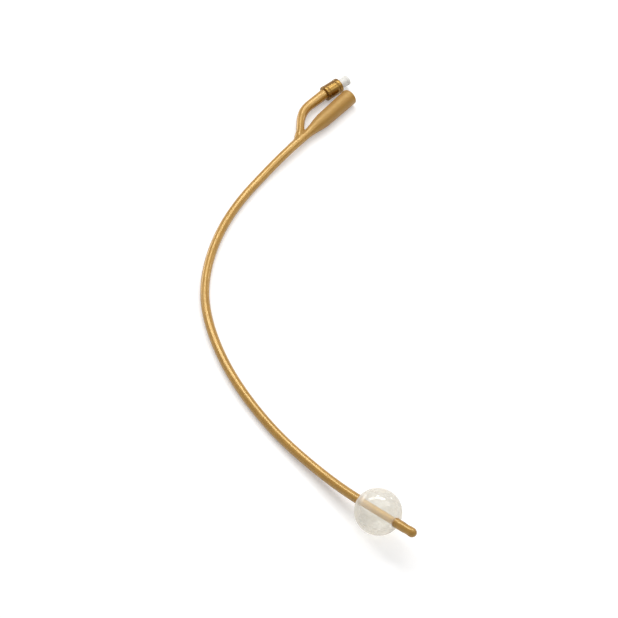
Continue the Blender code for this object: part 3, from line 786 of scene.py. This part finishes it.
class CATHETER_OT_tip(bpy.types.Operator):
    """Makes the closed rounded end with its two drainage eyes"""

    bl_idname = "catheter.tip"
    bl_label = "Tip"

    def execute(self, context):
        sizes = context.scene.catheter_sizes
        colours = context.scene.catheter_colours
        line = catheter_line(sizes)
        nose = sizes.nose * (1 - np.cos(np.linspace(0.03, math.pi / 2, 40))) - sizes.tip
        body = np.linspace(nose[-1], tip_seam(sizes), 120)[1:]
        at = np.concatenate([nose, body, tip_seam(sizes) + SEAM])
        radius = shaft_radius(sizes, at)
        radius[-len(SEAM) :] -= SEAM_IN
        sides = 160
        grid, _ = tube(line, at, radius, sides)
        a = 2 * math.pi * np.arange(sides) / sides
        _, _, side, up = stand_on(line, at)
        for from_end, roll in EYES:
            grid = self.eye(sizes, grid, at, radius, a, from_end, roll, side, up)
        mesh = skin("catheter_tip", grid)
        finish = latex("dipped latex, tip", colours)
        place_piece("catheter_tip", mesh, finish, "catheter", "latex", "latex_body")
        return {"FINISHED"}

    def eye(self, sizes, grid, at, radius, a, from_end, roll, side, up):
        """Sinks an oval hole with a soft lip, straight in along its own axis.

        With e the oval distance from the eye's middle, 1 at its edge, the surface goes in by
        D (1 - ease((e - 0.8) / 0.2)) + lip (1 - ease((e - 0.9) / 0.5)).
        """
        along = (at + sizes.tip - from_end)[:, None] / (sizes.eye_long / 2)
        round_it = radius[:, None] * np.sin(a - roll)[None] / (sizes.eye_wide / 2)
        e = np.hypot(along, round_it)
        e = np.where(np.cos(a - roll)[None] > 0, e, 9.0)  # the shaft's other side is far off
        depth = EYE_DEPTH * (1 - ease((e - 0.8) / 0.2)) + EYE_LIP * (1 - ease((e - 0.9) / 0.5))
        axis = math.cos(roll) * side + math.sin(roll) * up
        return grid - depth[:, :, None] * axis[:, None]


class CATHETER_OT_balloon(bpy.types.Operator):
    """Makes the blown-up balloon with its cuffs on the shaft"""

    bl_idname = "catheter.balloon"
    bl_label = "Balloon"

    def execute(self, context):
        sizes = context.scene.catheter_sizes
        line = catheter_line(sizes)
        outer = self.wall(sizes, line, 0.0)
        inner = self.wall(sizes, line, sizes.film)
        grid = np.concatenate([outer, inner[::-1]])
        film = balloon_film(context.scene.catheter_colours, balloon_height(sizes))
        mesh = skin("balloon", grid, closed=True)
        place_piece("balloon", mesh, film, "catheter", "balloon", "inflation_balloon")
        return {"FINISHED"}

    def wall(self, sizes, line, inset):
        """One side of the film, inset from its outside.

        At an angle q the ball is -A cos q along the shaft and B sin q out from it. Near the shaft it
        runs into the cuff's radius c in a soft corner: max(x, c) + k/4 (1 - |x - c| / k)^2, with the
        film's inner side sunk in the shaft. The cuffs' ends thin out into the shaft over their last
        half millimetre, and what would lie below the table is pressed flat on it.
        """
        half = sizes.balloon_long / 2 - inset
        ball = sizes.balloon / 2 - inset
        cuff = sizes.shaft / 2 + 0.00002 - inset * 1.5
        soft = 0.0009
        q = np.linspace(0.04, math.pi - 0.04, 110)
        plain = ball * np.sin(q)
        bend = np.clip(1 - np.abs(plain - cuff) / soft, 0, 1)
        radius = np.maximum(plain, cuff) + soft / 4 * bend**2
        at = -half * np.cos(q)
        from_end = np.array((0.0, 0.0002, 0.0005, 0.0012))
        thin = np.array((0.00022, 0.00008, 0.0, 0.0)) * (inset == 0)
        low = -sizes.balloon_long / 2 - sizes.far_cuff + from_end
        high = (sizes.balloon_long / 2 + sizes.near_cuff - from_end)[::-1]
        at = np.concatenate([low, at, high])
        radius = np.concatenate([cuff - thin, radius, cuff - thin[::-1]])
        grid, _ = tube(line, at, radius, 128)
        grid[:, :, 2] = np.maximum(grid[:, :, 2], inset)
        return grid


class CATHETER_OT_shaft(bpy.types.Operator):
    """Makes the soft shaft from the fork to the rounded tip"""

    bl_idname = "catheter.shaft"
    bl_label = "Shaft"

    def execute(self, context):
        sizes = context.scene.catheter_sizes
        colours = context.scene.catheter_colours
        line = catheter_line(sizes)
        fork, joint = fork_at(sizes), tip_seam(sizes)
        at = np.linspace(joint, fork, 380)
        radius = shaft_radius(sizes, at)
        under = np.full(len(SEAM), sizes.shaft / 2 - SEAM_IN)
        at = np.concatenate([joint - SEAM[::-1], at, fork + SEAM])
        radius = np.concatenate([under, radius, under])
        grid, _ = tube(line, at, radius, 56)
        mesh = skin("catheter_shaft", grid)
        # The seat colour is painted glow from the milky film, on the shaft inside the balloon
        finish = latex("dipped latex, shaft", colours, seat=(balloon_height(sizes), colours.seat))
        made = place_piece("catheter_shaft", mesh, finish, "catheter", "latex", "latex_body")
        return {"FINISHED"}


class CATHETER_OT_head(bpy.types.Operator):
    """Makes the drainage funnel and the inflation arm, one moulding with the shaft"""

    bl_idname = "catheter.head"
    bl_label = "Funnel and arm"

    def execute(self, context):
        sizes = context.scene.catheter_sizes
        colours = context.scene.catheter_colours
        line = catheter_line(sizes)
        arm, _ = arm_line(sizes, line)
        whole = arm[0][-1]
        fork = fork_at(sizes)
        mouth_at = sizes.overall - sizes.tip

        def main_radius(at):
            return funnel_radius(sizes, np.minimum(mouth_at - at, sizes.funnel))

        def branch_radius(at):
            return arm_radius(sizes, at, whole)

        def to_main(points):
            return gap_to(points, line, main_radius, fork + FUNNEL_SEARCH[0], fork + FUNNEL_SEARCH[1])

        def to_arm(points):
            return gap_to(points, arm, branch_radius, *ARM_SEARCH)

        near = np.linspace(fork, fork + CORNER_ON_FUNNEL, 84)
        rim = 0.0006
        far = np.linspace(fork + CORNER_ON_FUNNEL, mouth_at - rim, 30)[1:]
        outside = np.concatenate([fork - SEAM[::-1], near, far])
        radius = main_radius(outside)
        radius[: len(SEAM)] -= SEAM_IN
        lip = np.linspace(0, math.pi, 12)[1:-1]
        inner_mouth = sizes.mouth / 2 - sizes.funnel_wall
        lip_middle = (sizes.mouth / 2 + inner_mouth) / 2
        lip_at = mouth_at - rim + rim * np.sin(lip)
        lip_radius = lip_middle + sizes.funnel_wall / 2 * np.cos(lip)
        back = np.linspace(rim, BORE_END, 24)
        drawn = ease((back - sizes.bore_depth) / BORE_RUN)
        bore = inner_mouth - BORE_DRAFT * np.minimum(back / sizes.bore_depth, 1)
        bore += (LUMEN - bore) * drawn
        at = np.concatenate([outside, lip_at, mouth_at - back])
        radius = np.concatenate([radius, lip_radius, bore])
        grid, out = tube(line, at, radius, 72)
        blended = len(SEAM) + len(near)
        grid[:blended] = filleted(grid[:blended], out[:blended], to_main, to_arm)
        mesh = skin("drainage_funnel", grid)
        begins = stand_on(line, np.array([fork]))[0][0, 1]
        # The funnel's deeper colour is partly painted shade for the dimmer light at the head
        satin = latex("dipped latex, funnel", colours, funnel=(begins, colours.moulded))
        place_piece("drainage_funnel", mesh, satin, "catheter", "latex", "latex_body")

        along = np.linspace(0, whole, 150)
        in_collar = whole + np.array((0.002, 0.005, ARM_END))
        at = np.concatenate([along, in_collar])
        radius = np.concatenate([branch_radius(along), np.full(len(in_collar), sizes.arm_end / 2)])
        grid, out = tube(arm, at, radius, 56)
        blended = int((along < CORNER_ON_ARM).sum())
        grid[:blended] = filleted(grid[:blended], out[:blended], to_arm, to_main)
        mesh = skin("inflation_arm", grid)
        finish = latex("dipped latex, arm", colours)
        place_piece("inflation_arm", mesh, finish, "catheter", "latex", "latex_body")
        return {"FINISHED"}


class CATHETER_OT_collar(bpy.types.Operator):
    """Makes the amber rubber sleeve over the arm's end"""

    bl_idname = "catheter.collar"
    bl_label = "Collar"

    def execute(self, context):
        sizes = context.scene.catheter_sizes
        colours = context.scene.catheter_colours
        _, valve = arm_line(sizes, catheter_line(sizes))
        bead = sizes.collar_wide / 2
        waist = bead - 0.0001
        groove = bead - 0.00028
        inner = sizes.arm_end / 2 - 0.0001
        end = sizes.collar
        # The sleeve's outline: radius and level, bead, groove, waist, groove and bead
        corners = (
            (inner, 0.0),
            (bead, 0.0),
            (bead, 0.0017),
            (groove, 0.0020),
            (groove, 0.0024),
            (waist, 0.0027),
            (waist, end - 0.0031),
            (groove, end - 0.0028),
            (groove, end - 0.0024),
            (bead, end - 0.0021),
            (bead, end),
            (inner, end),
        )
        reach = np.array((5, 60, 14, 14, 14, 14, 14, 14, 14, 14, 40, 5)) * 1e-5
        radius, at = rounded(corners, reach).T
        grid, _ = tube(valve, at, radius, 96)
        amber = dipped_rubber(
            "amber rubber sleeve", colours.collar, colours.collar_deep, colours.collar_gleam,
            0.22, grained=0.1, index=1.82,
        )
        mesh = skin("amber_collar", grid, closed=True)
        place_piece("amber_collar", mesh, amber, "catheter", "collar", "valve_collar")
        return {"FINISHED"}


class CATHETER_OT_valve(bpy.types.Operator):
    """Makes the white valve body with its syringe socket, and finishes its barbed tail"""

    bl_idname = "catheter.valve"
    bl_label = "Valve"

    def execute(self, context):
        sizes = context.scene.catheter_sizes
        colours = context.scene.catheter_colours
        _, valve = arm_line(sizes, catheter_line(sizes))
        top = sizes.collar + sizes.valve
        rim = sizes.valve_wide / 2
        neck = rim - 0.00022
        mouth = sizes.socket / 2
        floor = mouth - SOCKET_DRAFT * (top - SOCKET_LOW)
        # The body's outline: radius and level, up its outside and down its bore
        corners = (
            (CHAMBER, CHAMBER_LOW),
            (neck, CHAMBER_LOW),
            (neck, top - 0.0020),
            (rim, top - 0.0016),
            (rim, top),
            (mouth, top),
            (floor, SOCKET_LOW),
            (SEAT_BORE, SOCKET_LOW),
            (SEAT_BORE, SEAT_LOW),
            (CHAMBER, SEAT_LOW),
        )
        reach = np.array((5, 20, 18, 18, 30, 15, 20, 8, 8, 10)) * 1e-5
        radius, at = rounded(corners, reach).T
        grid, _ = tube(valve, at, radius, 96)
        white = moulded_plastic("moulded translucent nylon", colours.valve, 0.2)
        mesh = skin("valve_body", grid, closed=True)
        place_piece("valve_body", mesh, white, "catheter", "housing", "valve_housing")
        refinish("valve_tail", moulded_plastic("moulded nylon, tail", colours.valve, 0.35))
        refinish("valve_spring", drawn_wire(colours.steel))
        return {"FINISHED"}


class CATHETER_OT_plunger(bpy.types.Operator):
    """Finishes the stem that a syringe pushes in, and its seal"""

    bl_idname = "catheter.plunger"
    bl_label = "Valve stem"

    def execute(self, context):
        colours = context.scene.catheter_colours
        refinish("valve_stem", moulded_plastic("moulded acetal stem", colours.stem, 0.3))
        refinish("valve_seal", moulded_plastic("moulded rubber seal", colours.seal, 0.6))
        return {"FINISHED"}


class CATHETER_PT_sidebar(bpy.types.Panel):
    """Lists the catheter's sizes, colours and pieces"""

    bl_idname = "CATHETER_PT_sidebar"
    bl_label = "Balloon catheter"
    bl_space_type = "VIEW_3D"
    bl_region_type = "UI"
    bl_category = "Catheter"

    def draw(self, context):
        scene = context.scene
        for group in (scene.catheter_sizes, scene.catheter_colours, scene.catheter_studio):
            box = self.layout.box()
            for name in group.__annotations__:
                box.prop(group, name)
        for operator in OPERATORS:
            self.layout.operator(operator.bl_idname)


GROUPS = {
    "catheter_sizes": CatheterSizes,
    "catheter_colours": CatheterColours,
    "catheter_studio": CatheterStudio,
}
OPERATORS = (
    CATHETER_OT_stage,
    CATHETER_OT_tip,
    CATHETER_OT_balloon,
    CATHETER_OT_shaft,
    CATHETER_OT_head,
    CATHETER_OT_collar,
    CATHETER_OT_valve,
    CATHETER_OT_plunger,
)


def register():
    for made in (*GROUPS.values(), *OPERATORS, CATHETER_PT_sidebar):
        bpy.utils.register_class(made)
    for name, group in GROUPS.items():
        setattr(bpy.types.Scene, name, PointerProperty(type=group))


def unregister():
    for name in GROUPS:
        delattr(bpy.types.Scene, name)
    for made in (CATHETER_PT_sidebar, *OPERATORS, *GROUPS.values()):
        bpy.utils.unregister_class(made)


def main():
    register()
    bpy.ops.catheter.stage()
    bpy.ops.catheter.tip()
    bpy.ops.catheter.balloon()
    bpy.ops.catheter.shaft()
    bpy.ops.catheter.head()
    bpy.ops.catheter.collar()
    bpy.ops.catheter.valve()
    bpy.ops.catheter.plunger()


if __name__ == "__main__":
    main()
